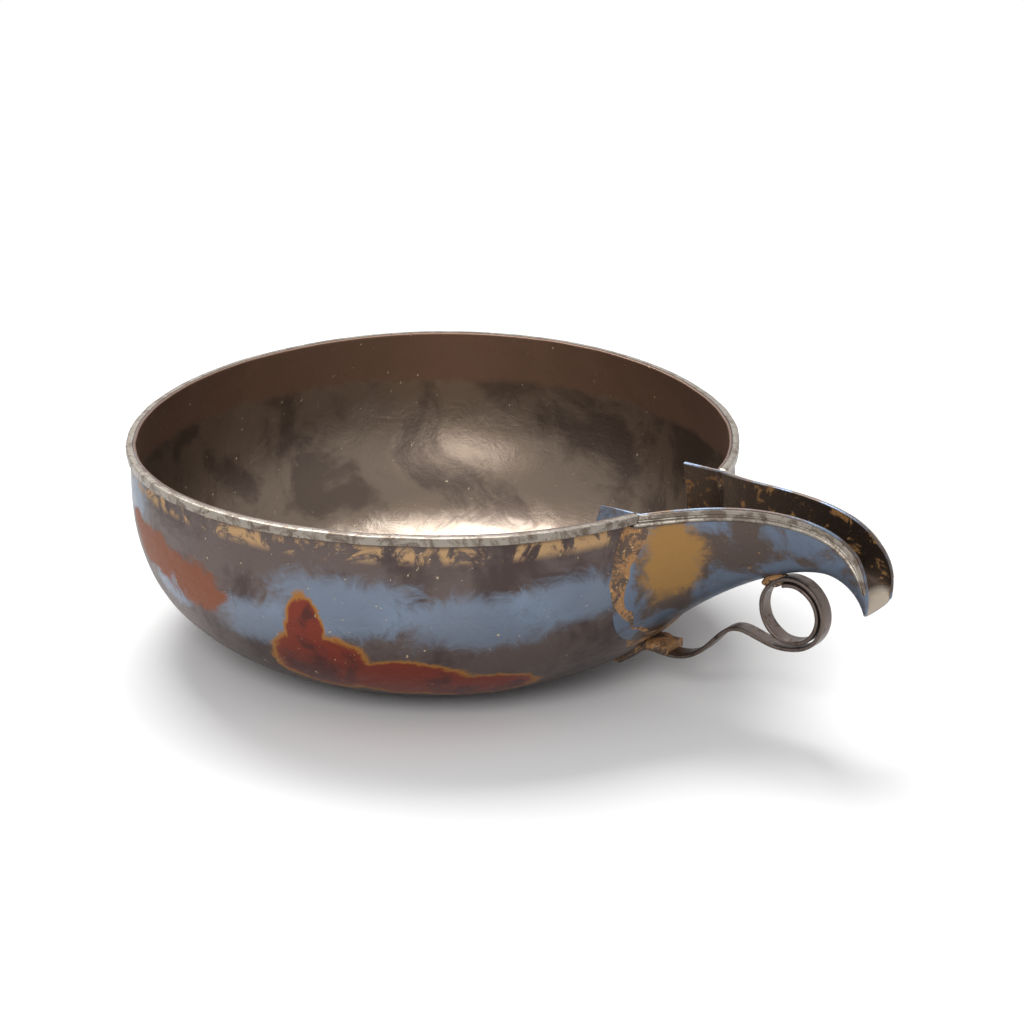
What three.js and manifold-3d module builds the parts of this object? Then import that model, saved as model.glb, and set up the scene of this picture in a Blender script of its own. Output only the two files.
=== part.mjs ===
// A pouring bowl of raised silver: a round bowl, an open beaked spout and a ribbon handle that ends in a coil.
// Millimetres, +Z up. The origin is the middle of the flat that the bowl rests on, and the spout points along +X.

import * as THREE from "three";
import { mergeVertices } from "three/addons/utils/BufferGeometryUtils.js";
import Module from "manifold-3d";

const wasm = await Module();
wasm.setup();

// Bowl
const BOWL_HEIGHT = 66.9; // from the base to the rim
const BASE_RADIUS = 30; // the flat underneath
const BODY_RADIUS = 94.1; // widest place, outside
const BODY_HEIGHT = 52; // height of the widest place
const RIM_DRAW_IN = 0.7; // how far the wall leans in again up to the rim
const BASE_SWEEP = 42.6; // how far the belly curve runs on along the base
const WALL_SWEEP = 34.7; // how far it runs on down the wall
const WALL = 1.2; // thickness of the sheet, bowl and spout

// The rim isn't quite true: hammering left it three-cornered from above, and high and low by turns.
const RIM_CORNERING = 0.58;
const RIM_SADDLE = 0.96;
const RIM_SADDLE_ANGLE = THREE.MathUtils.degToRad(24.6); // where the rim is lowest

// Half-round wire under the bowl's lip
const RIM_WIRE_HEIGHT = 3.2;
const RIM_WIRE_PROUD = 1.6;

// Spout, its upper edge: from the bowl's rim up to a crest, then down to the tip
const MOUTH_HALF_WIDTH = 22.9; // at the rim, outside
const THROAT_HALF_WIDTH = 5.6; // what the spout narrows to
const TAPER_LENGTH = 24; // distance in which it narrows to about a third
const MOUTH_SWELL = 8; // how much wider the mouth is below the rim than at it
const CREST_REACH = 36.5; // from the rim to the crest
const CREST_RISE = 3.9; // crest above the rim
const TIP_REACH = 68.5; // from the rim to the tip
const TIP_DROP = 20.3; // tip below the rim
const TIP_FLARE = 1.2; // how far the lip spreads just before the tip

// Spout, its keel underneath: from the bowl's belly up to a bend, then down to the tip
const MOUTH_BOTTOM = 20.2; // where the keel leaves the belly
const BEND_REACH = 50.5; // from the rim to the highest place of the keel
const BEND_DROP = 14.6; // that place below the rim
const TIP_DEPTH = 4.2; // depth of the channel at the tip
const TIP_SLANT = THREE.MathUtils.degToRad(47); // how steeply the end slopes back

// Double moulding along each edge of the spout
const BAND_HEIGHT = 1.6;
const BAND_PROUD = 0.7;
const GROOVE_HEIGHT = 0.8;
const BEAD_HEIGHT = 1.8;
const BEAD_PROUD = 1.0;

// Solder along the seam of bowl and spout
const SEAM_LEG = 3.4; // how far it spreads on each sheet
const SEAM_EDGE = 0.3; // thickness where it thins out
const SEAM_FILL = 0.9; // thickness in the corner

// Ribbon handle
const RIBBON_THICKNESS = 1.4;
const TONGUE_HALF_WIDTH = 4.1; // where it is soldered to the belly
const STRAP_HALF_WIDTH = 3.6; // where it leaves the belly
const COIL_HALF_WIDTH = 2.65;
const TONGUE_RADIUS = 72.6; // distance of the tongue's end from the bowl's axis
const TONGUE_LENGTH = 9.2; // length that lies on the belly
const DIP_REACH = 10.5; // from the end of the tongue to the lowest place of the wave
const DIP_RISE = 1.0;
const COIL_REACH = 39.7; // from the rim to the middle of the coil
const COIL_OUTER_RADIUS = 11.4; // middle of the ribbon, at the start
const COIL_PITCH = 1.9; // how far it closes in with each turn
const COIL_START = THREE.MathUtils.degToRad(-75);
const COIL_TURN = THREE.MathUtils.degToRad(545);
const HUMP_BEFORE_COIL = 17.2; // the wave's hump, from the middle of the coil
const HUMP_BELOW_COIL = 9.4;

// Every soldered or fitted face stands this far off its neighbour.
const FILM = 0.3;

// How finely the round shapes are cut
const ROUND_STEPS = 64;
const OUTLINE_STEPS = 18;
const SPOUT_STEPS = 34;
const SECTION_STEPS = 11; // from the edge of the spout to its keel
const FINE_STEPS = 96; // for lengths measured along a curve
const RIBBON_STEPS = 84;
const SEAM_STEPS = 26;

// Places along the spout, as shares of its length
const WELL_INSIDE = -0.2; // inside the bowl
const WELL_OUTSIDE = 0.3; // clear of the bowl all round
const MOULDING_START = -0.06;
const MOULDING_END = 0.93;

// Sizes that follow from the ones above
const RIM_RADIUS = BODY_RADIUS - RIM_DRAW_IN;
const LIP_RADIUS = RIM_RADIUS + FILM + RIM_WIRE_PROUD;
const RIM_X = Math.sqrt(LIP_RADIUS ** 2 - MOUTH_HALF_WIDTH ** 2);

// Materials
const silver = new THREE.MeshStandardMaterial({ color: 0x6f6a66, roughness: 0.42, metalness: 0.9 });
const brightSilver = new THREE.MeshStandardMaterial({ color: 0x8d8983, roughness: 0.35, metalness: 0.95 });
const darkSilver = new THREE.MeshStandardMaterial({ color: 0x57514d, roughness: 0.38, metalness: 0.9 });
const solder = new THREE.MeshStandardMaterial({ color: 0x8a6a43, roughness: 0.7, metalness: 0.5 });

// Solids

// A closed mesh with shared corners, no collapsed triangles and its faces outward.
function weld(geometry) {
  const bare = geometry.clone();
  bare.deleteAttribute("normal");
  bare.deleteAttribute("uv");
  const merged = mergeVertices(bare, 1e-4);
  const index = merged.index.array;
  const place = merged.attributes.position;
  const corner = [new THREE.Vector3(), new THREE.Vector3(), new THREE.Vector3()];
  const kept = [];
  let volume = 0;
  for (let i = 0; i < index.length; i += 3) {
    const [a, b, c] = [index[i], index[i + 1], index[i + 2]];
    if (a === b || b === c || c === a) {
      continue;
    }
    kept.push(a, b, c);
    corner.forEach((point, k) => point.fromBufferAttribute(place, [a, b, c][k]));
    volume += corner[0].dot(corner[1].clone().cross(corner[2]));
  }
  if (volume < 0) {
    kept.reverse();
  }
  merged.setIndex(kept);
  return merged;
}

function solidOf(geometry) {
  const closed = weld(geometry);
  return new wasm.Manifold(new wasm.Mesh({
    numProp: 3,
    vertProperties: new Float32Array(closed.attributes.position.array),
    triVerts: new Uint32Array(closed.index.array),
  }));
}

function geometryOf(solid) {
  const mesh = solid.getMesh();
  const geometry = new THREE.BufferGeometry();
  geometry.setAttribute("position", new THREE.BufferAttribute(new Float32Array(mesh.vertProperties), 3));
  geometry.setIndex(new THREE.BufferAttribute(new Uint32Array(mesh.triVerts), 1));
  return geometry;
}

// Joins rings of points, each with the same number of points, and closes both ends with a fan.
function skin(rings) {
  const count = rings[0].length;
  const points = rings.flat();
  const index = [];
  for (let i = 0; i + 1 < rings.length; i += 1) {
    for (let j = 0; j < count; j += 1) {
      const a = i * count + j;
      const b = i * count + (j + 1) % count;
      index.push(a, b, a + count, b, b + count, a + count);
    }
  }
  for (const [ring, turned] of [[0, true], [rings.length - 1, false]]) {
    const middle = new THREE.Vector3();
    rings[ring].forEach((point) => middle.addScaledVector(point, 1 / count));
    points.push(middle);
    for (let j = 0; j < count; j += 1) {
      const a = ring * count + j;
      const b = ring * count + (j + 1) % count;
      index.push(...(turned ? [b, a, points.length - 1] : [a, b, points.length - 1]));
    }
  }
  const geometry = new THREE.BufferGeometry().setFromPoints(points);
  geometry.setIndex(index);
  return geometry;
}

// Joins two sheets of points, one inside the other, along all four edges.
function shell(outer, inner) {
  const rows = outer.length;
  const count = outer[0].length;
  const points = [...outer.flat(), ...inner.flat()];
  const index = [];
  const quad = (a, b, c, d) => index.push(a, b, c, a, c, d);
  const at = (i, j) => i * count + j;
  const under = (i, j) => rows * count + i * count + j;
  for (let i = 0; i + 1 < rows; i += 1) {
    for (let j = 0; j + 1 < count; j += 1) {
      quad(at(i, j), at(i, j + 1), at(i + 1, j + 1), at(i + 1, j));
      quad(under(i, j), under(i + 1, j), under(i + 1, j + 1), under(i, j + 1));
    }
    quad(at(i, 0), at(i + 1, 0), under(i + 1, 0), under(i, 0));
    quad(at(i + 1, count - 1), at(i, count - 1), under(i, count - 1), under(i + 1, count - 1));
  }
  for (let j = 0; j + 1 < count; j += 1) {
    quad(at(0, j + 1), at(0, j), under(0, j), under(0, j + 1));
    quad(at(rows - 1, j), at(rows - 1, j + 1), under(rows - 1, j + 1), under(rows - 1, j));
  }
  const geometry = new THREE.BufferGeometry().setFromPoints(points);
  geometry.setIndex(index);
  return geometry;
}

// Bowl

const belly = new THREE.CurvePath();
belly.add(new THREE.CubicBezierCurve(
  new THREE.Vector2(BASE_RADIUS, 0),
  new THREE.Vector2(BASE_RADIUS + BASE_SWEEP, 0),
  new THREE.Vector2(BODY_RADIUS, BODY_HEIGHT - WALL_SWEEP),
  new THREE.Vector2(BODY_RADIUS, BODY_HEIGHT),
));
belly.add(new THREE.QuadraticBezierCurve(
  new THREE.Vector2(BODY_RADIUS, BODY_HEIGHT),
  new THREE.Vector2(BODY_RADIUS, (BODY_HEIGHT + BOWL_HEIGHT) / 2),
  new THREE.Vector2(RIM_RADIUS, BOWL_HEIGHT),
));

// The bowl's outline from the base to the rim, moved outward by an offset.
function outline(offset) {
  const points = [];
  for (let i = 0; i <= OUTLINE_STEPS; i += 1) {
    const along = i / OUTLINE_STEPS;
    const point = belly.getPoint(along);
    const heading = belly.getTangent(along);
    points.push(new THREE.Vector2(point.x + heading.y * offset, point.y - heading.x * offset));
  }
  points[0].set(BASE_RADIUS, -offset);
  points[OUTLINE_STEPS].y = BOWL_HEIGHT;
  return points;
}

// How far the rim is out of true at an angle round the axis: outward, and up.
function waviness(angle, height) {
  const share = (height / BOWL_HEIGHT) ** 2;
  return {
    out: share * RIM_CORNERING * Math.cos(3 * angle),
    up: -share * RIM_SADDLE * Math.cos(2 * (angle - RIM_SADDLE_ANGLE)),
  };
}

function hammer(geometry) {
  const place = geometry.attributes.position;
  for (let i = 0; i < place.count; i += 1) {
    const [x, y, z] = [place.getX(i), place.getY(i), place.getZ(i)];
    const angle = Math.atan2(y, x);
    const radius = Math.hypot(x, y);
    const wave = waviness(angle, z);
    const wider = radius > 0 ? 1 + (wave.out * Math.min(1, radius / BODY_RADIUS)) / radius : 1;
    place.setXYZ(i, x * wider, y * wider, z + wave.up);
  }
  return geometry;
}

function revolve(points) {
  const geometry = new THREE.LatheGeometry(points, ROUND_STEPS);
  geometry.rotateX(Math.PI / 2);
  return hammer(geometry);
}

// Everything inside the bowl's outside, to well above the rim, grown by an offset.
function bowlBody(offset, headroom) {
  const points = outline(offset);
  const top = BOWL_HEIGHT + headroom;
  return solidOf(revolve([
    new THREE.Vector2(0, -offset),
    ...points,
    new THREE.Vector2(points[OUTLINE_STEPS].x, top),
    new THREE.Vector2(0, top),
  ]));
}

function bowlShell() {
  return solidOf(revolve([
    new THREE.Vector2(0, 0),
    ...outline(0),
    ...outline(-WALL).reverse(),
    new THREE.Vector2(0, WALL),
  ]));
}

// The outside radius of the bowl at a height, with the waviness in it.
function bowlRadius(height, angle) {
  const wave = waviness(angle, height);
  const points = outline(0);
  const level = THREE.MathUtils.clamp(height - wave.up, 0, BOWL_HEIGHT);
  const upper = Math.max(1, points.findIndex((point) => point.y >= level));
  const [a, b] = [points[upper - 1], points[upper]];
  const share = (level - a.y) / (b.y - a.y);
  return THREE.MathUtils.lerp(a.x, b.x, share) + wave.out;
}

// Spout

const crest = new THREE.Vector2(RIM_X + CREST_REACH, BOWL_HEIGHT + CREST_RISE);
const tip = new THREE.Vector2(RIM_X + TIP_REACH, BOWL_HEIGHT - TIP_DROP);
const edgeStart = new THREE.Vector2(RIM_X, BOWL_HEIGHT - RIM_SADDLE / 2);
const edgeLine = new THREE.CurvePath();
edgeLine.add(new THREE.CubicBezierCurve(
  edgeStart,
  edgeStart.clone().lerp(crest, 0.37).add(new THREE.Vector2(0, CREST_RISE * 0.13)),
  new THREE.Vector2(crest.x - CREST_REACH * 0.33, crest.y),
  crest,
));
edgeLine.add(new THREE.CubicBezierCurve(
  crest,
  new THREE.Vector2(crest.x + (tip.x - crest.x) * 0.65, crest.y),
  new THREE.Vector2(tip.x + (tip.x - crest.x) * 0.04, tip.y + (crest.y - tip.y) * 0.74),
  tip,
));

const keelStart = new THREE.Vector2(bowlRadius(MOUTH_BOTTOM, 0) + FILM, MOUTH_BOTTOM);
const keelBend = new THREE.Vector2(RIM_X + BEND_REACH, BOWL_HEIGHT - BEND_DROP);
const keelEnd = tip.clone().sub(
  new THREE.Vector2(TIP_DEPTH * Math.cos(TIP_SLANT), TIP_DEPTH * Math.sin(TIP_SLANT)),
);
const keelLength = keelBend.x - keelStart.x;
const keelClimb = keelBend.y - keelStart.y;
const keelLine = new THREE.CurvePath();
keelLine.add(new THREE.CubicBezierCurve(
  keelStart,
  new THREE.Vector2(keelStart.x + keelLength * 0.2, keelStart.y + keelClimb * 0.375),
  new THREE.Vector2(keelStart.x + keelLength * 0.69, keelBend.y - keelClimb * 0.025),
  keelBend,
));
keelLine.add(new THREE.CubicBezierCurve(
  keelBend,
  new THREE.Vector2(keelBend.x + (keelEnd.x - keelBend.x) * 0.42, keelBend.y),
  new THREE.Vector2(keelEnd.x - (keelEnd.x - keelBend.x) * 0.16, keelEnd.y + (keelBend.y - keelEnd.y) * 0.64),
  keelEnd,
));

// Half the section of the spout, from its edge to its keel, evenly spaced. Along is 0 at the bowl and 1 at the tip.
// The section is a deep round U at the bowl, a V with a rounded keel in the middle and a shallow U at the tip.
function halfSection(along) {
  const reach = THREE.MathUtils.clamp(along, 0, 1);
  const edge = edgeLine.getPoint(reach);
  const keel = keelLine.getPoint(reach);
  const inward = Math.min(along, 0) * TIP_REACH;
  const flare = TIP_FLARE * Math.max(0, Math.sin(Math.PI * THREE.MathUtils.clamp((reach - 0.8) / 0.25, 0, 1)));
  const narrowing = Math.exp(-(edge.x - RIM_X) / TAPER_LENGTH);
  const halfWidth = THROAT_HALF_WIDTH + (MOUTH_HALF_WIDTH - THROAT_HALF_WIDTH) * narrowing + flare;
  const swell = MOUTH_SWELL * Math.exp(-reach / 0.09);
  const fullness = 1.7 + 4.3 * Math.exp(-reach / 0.12) + 0.6 * THREE.MathUtils.clamp((reach - 0.6) / 0.4, 0, 1);
  const points = [];
  for (let i = 0; i <= FINE_STEPS; i += 1) {
    const turn = (i / FINE_STEPS) * (Math.PI / 2);
    const depth = Math.sin(turn) ** (2 / fullness);
    const side = halfWidth + swell * Math.sin((Math.PI / 2) * Math.min(1, depth / 0.65));
    points.push(new THREE.Vector3(
      THREE.MathUtils.lerp(edge.x, keel.x, depth) + inward,
      side * Math.cos(turn),
      THREE.MathUtils.lerp(edge.y, keel.y, depth),
    ));
  }
  return evenly(points, SECTION_STEPS);
}

function evenly(points, steps) {
  const length = [0];
  for (let i = 1; i < points.length; i += 1) {
    length.push(length[i - 1] + points[i].distanceTo(points[i - 1]));
  }
  const spaced = [];
  let k = 1;
  for (let i = 0; i <= steps; i += 1) {
    const goal = (i / steps) * length[length.length - 1];
    while (k < points.length - 1 && length[k] < goal) {
      k += 1;
    }
    const share = (goal - length[k - 1]) / (length[k] - length[k - 1]);
    spaced.push(points[k - 1].clone().lerp(points[k], THREE.MathUtils.clamp(share, 0, 1)));
  }
  return spaced;
}

// The whole section, from the -Y edge round the keel to the +Y edge.
function section(along) {
  const left = halfSection(along);
  const right = left.map((point) => new THREE.Vector3(point.x, -point.y, point.z));
  return [...right, ...left.reverse().slice(1)];
}

// The section moved outward by an offset, square to the surface.
function offsetSection(along, offset) {
  const step = 0.004;
  const here = section(along);
  const before = section(along - step);
  const after = section(along + step);
  const last = here.length - 1;
  return here.map((point, j) => {
    const onward = after[j].clone().sub(before[j]);
    const across = here[Math.min(j + 1, last)].clone().sub(here[Math.max(j - 1, 0)]);
    const normal = across.cross(onward).normalize();
    return point.clone().addScaledVector(normal, offset);
  });
}

// Places along the spout: one inside the bowl, then from the bowl to an end, closer together near the bowl.
function stations(end) {
  const places = [WELL_INSIDE];
  for (let i = 0; i <= SPOUT_STEPS; i += 1) {
    places.push((i / SPOUT_STEPS) ** 1.3);
  }
  return places.filter((place) => place <= end);
}

function spoutSheet(end, offset) {
  return stations(end).map((along) => offsetSection(along, offset));
}

// Everything inside the spout, closed over the top, from inside the bowl to a place along it.
function spoutBody(end, offset, headroom) {
  const rings = spoutSheet(end, offset).map((row) => {
    const [first, last] = [row[0], row[row.length - 1]];
    const lid = (point) => new THREE.Vector3(point.x, point.y, point.z + headroom);
    return [...row, lid(last), lid(first)];
  });
  return solidOf(skin(rings));
}

function spoutTrough() {
  return solidOf(shell(spoutSheet(1, 0), spoutSheet(1, -WALL)));
}

// The moulding along one edge: a flat band, a groove and a bead, laid on the outside of the sheet.
function spoutMoulding(side) {
  const rings = [];
  const profile = [
    [0, 0],
    [BAND_PROUD, 0],
    [BAND_PROUD, BAND_HEIGHT],
    [BAND_PROUD * 0.45, BAND_HEIGHT + GROOVE_HEIGHT / 2],
    [BEAD_PROUD * 0.8, BAND_HEIGHT + GROOVE_HEIGHT],
    [BEAD_PROUD, BAND_HEIGHT + GROOVE_HEIGHT + BEAD_HEIGHT / 2],
    [BEAD_PROUD * 0.6, BAND_HEIGHT + GROOVE_HEIGHT + BEAD_HEIGHT],
    [0, BAND_HEIGHT + GROOVE_HEIGHT + BEAD_HEIGHT],
  ];
  for (let i = 0; i <= SPOUT_STEPS; i += 1) {
    const along = THREE.MathUtils.lerp(MOULDING_START, MOULDING_END, i / SPOUT_STEPS);
    const fade = Math.min(1, (1 - along) / 0.2);
    const base = offsetSection(along, FILM);
    const proud = offsetSection(along, FILM + 1);
    const half = base.slice(side < 0 ? 0 : -SECTION_STEPS - 1);
    const out = proud.slice(side < 0 ? 0 : -SECTION_STEPS - 1);
    if (side > 0) {
      half.reverse();
      out.reverse();
    }
    rings.push(profile.map(([thick, down]) => {
      const foot = alongLine(half, down * fade);
      const direction = alongLine(out, down * fade).sub(foot).normalize();
      return foot.addScaledVector(direction, thick * (0.35 + 0.65 * fade));
    }));
  }
  return solidOf(skin(rings));
}

// The point at a distance along a chain of points.
function alongLine(points, distance) {
  let left = distance;
  for (let i = 1; i < points.length; i += 1) {
    const piece = points[i].distanceTo(points[i - 1]);
    if (left <= piece || i === points.length - 1) {
      return points[i - 1].clone().lerp(points[i], left / piece);
    }
    left -= piece;
  }
  return points[0].clone();
}

function rimWire() {
  const foot = RIM_RADIUS + FILM;
  const bulge = [];
  for (let i = 0; i <= 6; i += 1) {
    const turn = (i / 6) * Math.PI;
    const out = RIM_WIRE_PROUD * Math.min(1, Math.sin(turn) + 0.55 * Math.cos(turn / 2));
    bulge.push(new THREE.Vector2(foot + out, BOWL_HEIGHT - (RIM_WIRE_HEIGHT * (1 - Math.cos(turn))) / 2));
  }
  const profile = [new THREE.Vector2(foot, BOWL_HEIGHT), ...bulge];
  return solidOf(revolve([...profile, profile[0].clone()]));
}

// A point of the spout's outside: the share runs from -1 at the right edge through 0 at the keel to 1 at the left.
function sheetPoint(along, share, offset) {
  const row = offset === 0 ? section(along) : offsetSection(along, offset);
  const index = THREE.MathUtils.clamp((share + 1) * SECTION_STEPS, 0, 2 * SECTION_STEPS);
  const low = Math.min(Math.floor(index), 2 * SECTION_STEPS - 1);
  return row[low].clone().lerp(row[low + 1], index - low);
}

// How far along the spout its outside comes out of the bowl's outside.
function seamPlace(share) {
  let [inside, outside] = [WELL_INSIDE, WELL_OUTSIDE];
  for (let i = 0; i < 24; i += 1) {
    const middle = (inside + outside) / 2;
    const point = sheetPoint(middle, share, 0);
    const clear = Math.hypot(point.x, point.y) - bowlRadius(point.z, Math.atan2(point.y, point.x));
    if (clear > 0) {
      outside = middle;
    } else {
      inside = middle;
    }
  }
  return outside;
}

function bowlNormal(point) {
  const angle = Math.atan2(point.y, point.x);
  const step = 0.5;
  const lean = (bowlRadius(point.z + step, angle) - bowlRadius(point.z - step, angle)) / (2 * step);
  return new THREE.Vector3(Math.cos(angle), Math.sin(angle), -lean).normalize();
}

function onBowl(point, offset) {
  const angle = Math.atan2(point.y, point.x);
  const radius = bowlRadius(point.z, angle);
  const surface = new THREE.Vector3(radius * Math.cos(angle), radius * Math.sin(angle), point.z);
  return surface.addScaledVector(bowlNormal(surface), offset);
}

// One section of the solder in the corner between bowl and spout, grown by an amount.
function seamRing(share, grow) {
  const leg = SEAM_LEG + grow;
  const edge = FILM + SEAM_EDGE + grow;
  const along = seamPlace(share);
  const corner = sheetPoint(along, share, 0);
  const step = 0.01;
  const ahead = sheetPoint(seamPlace(share + step), share + step, 0);
  const behind = sheetPoint(seamPlace(share - step), share - step, 0);
  const heading = ahead.sub(behind).normalize();
  const bowlOut = bowlNormal(corner);
  const away = bowlOut.clone().cross(heading).normalize();
  const onward = sheetPoint(along + step, share, 0).sub(corner);
  if (away.dot(onward) > 0) {
    away.negate();
  }
  const spoutLeg = along + (leg * step) / onward.length();
  const bowlLeg = corner.clone().addScaledVector(away, leg);
  const spoutOut = sheetPoint(along, share, 1).sub(corner).normalize();
  const between = bowlOut.clone().add(spoutOut).normalize();
  const fill = corner.clone().addScaledVector(between, FILM + 2 * SEAM_FILL + grow);
  const surface = new THREE.QuadraticBezierCurve3(
    onBowl(bowlLeg, edge),
    fill,
    sheetPoint(spoutLeg, share, edge),
  );
  return [corner, onBowl(bowlLeg, 0), ...surface.getPoints(4), sheetPoint(spoutLeg, share, 0)];
}

// The solder follows the line where the two outsides meet, from one moulding round the keel to the other.
function seamBody(grow) {
  const edge = sheetPoint(0, -1, 0);
  const mouldingHeight = BAND_HEIGHT + GROOVE_HEIGHT + BEAD_HEIGHT;
  const first = sheetPoint(0, -1 + 1 / SECTION_STEPS, 0).distanceTo(edge);
  const cover = Math.max(mouldingHeight, RIM_WIRE_HEIGHT + RIM_SADDLE) + SEAM_LEG / 2;
  const start = 1 - cover / (first * SECTION_STEPS);
  const rings = [];
  for (let i = 0; i <= SEAM_STEPS; i += 1) {
    rings.push(seamRing(THREE.MathUtils.lerp(-start, start, i / SEAM_STEPS), grow));
  }
  return solidOf(skin(rings));
}

// Handle

class Spiral extends THREE.Curve {
  constructor(middle) {
    super();
    this.middle = middle;
  }

  getPoint(share) {
    const turned = COIL_TURN * share;
    const radius = COIL_OUTER_RADIUS - (COIL_PITCH * turned) / (2 * Math.PI);
    const angle = COIL_START + turned;
    return new THREE.Vector2(
      this.middle.x + radius * Math.cos(angle),
      this.middle.y + radius * Math.sin(angle),
    );
  }
}

// The keel's height at a place along X.
function keelHeight(x) {
  const points = keelLine.getSpacedPoints(200);
  const after = Math.max(1, points.findIndex((point) => point.x >= x));
  const [a, b] = [points[after - 1], points[after]];
  return THREE.MathUtils.lerp(a.y, b.y, (x - a.x) / (b.x - a.x));
}

// The coil hangs just under the keel, where the two come nearest.
const turnsToTop = (Math.PI / 2 - COIL_START) / (2 * Math.PI);
const coilTop = COIL_OUTER_RADIUS - COIL_PITCH * turnsToTop + RIBBON_THICKNESS / 2;
const coilX = RIM_X + COIL_REACH;
let coilHeight = Infinity;
for (let aside = -0.8; aside <= 0.8; aside += 0.05) {
  const keel = keelHeight(coilX + aside * coilTop);
  coilHeight = Math.min(coilHeight, keel - FILM - coilTop * Math.sqrt(1 - aside ** 2));
}
const coilMiddle = new THREE.Vector2(coilX, coilHeight - FILM / 2);

// A point just off the outside of the belly, at a radius.
function belowBelly(radius, offset) {
  const points = outline(offset);
  const after = Math.max(1, points.findIndex((point) => point.x >= radius));
  const [a, b] = [points[after - 1], points[after]];
  return a.clone().lerp(b, (radius - a.x) / (b.x - a.x));
}

function ribbonPath() {
  const offset = FILM + RIBBON_THICKNESS / 2;
  const end = belowBelly(TONGUE_RADIUS, offset);
  const rise = belowBelly(TONGUE_RADIUS + TONGUE_LENGTH, offset).sub(end).normalize();
  const leaving = belowBelly(TONGUE_RADIUS + TONGUE_LENGTH * rise.x, offset);
  const middle = belowBelly((end.x + leaving.x) / 2, offset);
  const heading = leaving.clone().sub(middle).normalize();
  const dip = leaving.clone().add(new THREE.Vector2(DIP_REACH, DIP_RISE));
  const hump = coilMiddle.clone().sub(new THREE.Vector2(HUMP_BEFORE_COIL, HUMP_BELOW_COIL));
  const coil = new Spiral(coilMiddle);
  const start = coil.getPoint(0);
  const turning = coil.getTangent(0);
  const stride = hump.x - dip.x;
  const path = new THREE.CurvePath();
  path.add(new THREE.SplineCurve([end, middle, leaving]));
  path.add(new THREE.CubicBezierCurve(
    leaving,
    leaving.clone().addScaledVector(heading, DIP_REACH / 3),
    new THREE.Vector2(dip.x - DIP_REACH * 0.43, dip.y),
    dip,
  ));
  path.add(new THREE.CubicBezierCurve(
    dip,
    new THREE.Vector2(dip.x + stride * 0.57, dip.y),
    new THREE.Vector2(hump.x - stride * 0.37, hump.y),
    hump,
  ));
  path.add(new THREE.CubicBezierCurve(
    hump,
    new THREE.Vector2(hump.x + HUMP_BEFORE_COIL * 0.27, hump.y),
    start.clone().addScaledVector(turning, -HUMP_BEFORE_COIL * 0.58),
    start,
  ));
  path.add(coil);
  return path;
}

function ribbonHalfWidth(distance) {
  const tongue = THREE.MathUtils.smoothstep(distance, 0, 2 * TONGUE_LENGTH);
  const strap = THREE.MathUtils.smoothstep(distance, 2 * TONGUE_LENGTH, 6 * TONGUE_LENGTH);
  const root = THREE.MathUtils.lerp(TONGUE_HALF_WIDTH, STRAP_HALF_WIDTH, tongue);
  return THREE.MathUtils.lerp(root, COIL_HALF_WIDTH, strap);
}

// A run of the ribbon as rings, wider and thicker by the amounts given.
function ribbonRings(path, steps, widerBy, above, below) {
  const length = path.getLength();
  const rings = [];
  for (let i = 0; i <= steps; i += 1) {
    const share = i / steps;
    const point = path.getPoint(share);
    const heading = path.getPoint(Math.min(1, share + 0.002)).sub(path.getPoint(Math.max(0, share - 0.002)));
    heading.normalize();
    const half = ribbonHalfWidth(share * length) + widerBy;
    const edge = RIBBON_THICKNESS * 0.25;
    const place = (y, up) => new THREE.Vector3(point.x - heading.y * up, y, point.y + heading.x * up);
    rings.push([
      place(-half, -below + edge),
      place(-half + edge, -below),
      place(half - edge, -below),
      place(half, -below + edge),
      place(half, above - edge),
      place(half - edge, above),
      place(-half + edge, above),
      place(-half, above - edge),
    ]);
  }
  return rings;
}

function ribbon(grow) {
  const path = ribbonPath();
  const half = RIBBON_THICKNESS / 2 + grow;
  return solidOf(skin(ribbonRings(path, RIBBON_STEPS, grow, half, half)));
}

// Solder round the tongue, filling the corner where the ribbon leaves the belly.
function rootSolder(bowl, seam) {
  const path = new THREE.CurvePath();
  const whole = ribbonPath();
  path.add(whole.curves[0]);
  path.add(whole.curves[1]);
  const collar = solidOf(skin(ribbonRings(path, 12, 1.4, 3.2, 0.1)));
  const clearance = ribbon(FILM);
  return largest(collar.subtract(bowl).subtract(clearance).subtract(seam));
}

// Solder in the corner between the top of the coil and the keel.
function coilSolder(trough) {
  const lump = new THREE.SphereGeometry(1, 20, 12);
  lump.scale(COIL_OUTER_RADIUS * 0.42, COIL_HALF_WIDTH * 0.95, COIL_OUTER_RADIUS * 0.17);
  const x = coilMiddle.x - COIL_OUTER_RADIUS * 0.55;
  lump.rotateY(-Math.atan2(keelHeight(x + 2) - keelHeight(x - 2), 4));
  lump.translate(x, 0, keelHeight(x) - FILM - COIL_OUTER_RADIUS * 0.1);
  const disc = new THREE.CylinderGeometry(coilTop + FILM, coilTop + FILM, 8 * COIL_HALF_WIDTH, ROUND_STEPS);
  disc.translate(coilMiddle.x, 0, coilMiddle.y);
  return largest(solidOf(lump).subtract(trough).subtract(solidOf(disc)));
}

function largest(solid) {
  const pieces = solid.decompose();
  return pieces.reduce((best, piece) => (piece.volume() > best.volume() ? piece : best));
}

// Assembly

const HEADROOM = 30;
const bowlClearance = bowlBody(FILM, HEADROOM);
const channel = spoutBody(WELL_OUTSIDE, -WALL, HEADROOM);
const spoutClearance = spoutBody(1, FILM, 0);
const mouldingProud = Math.max(BAND_PROUD, BEAD_PROUD);
const wireClearance = spoutBody(WELL_OUTSIDE, 2 * FILM + mouldingProud, HEADROOM);

const vessel = new THREE.Group();

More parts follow.
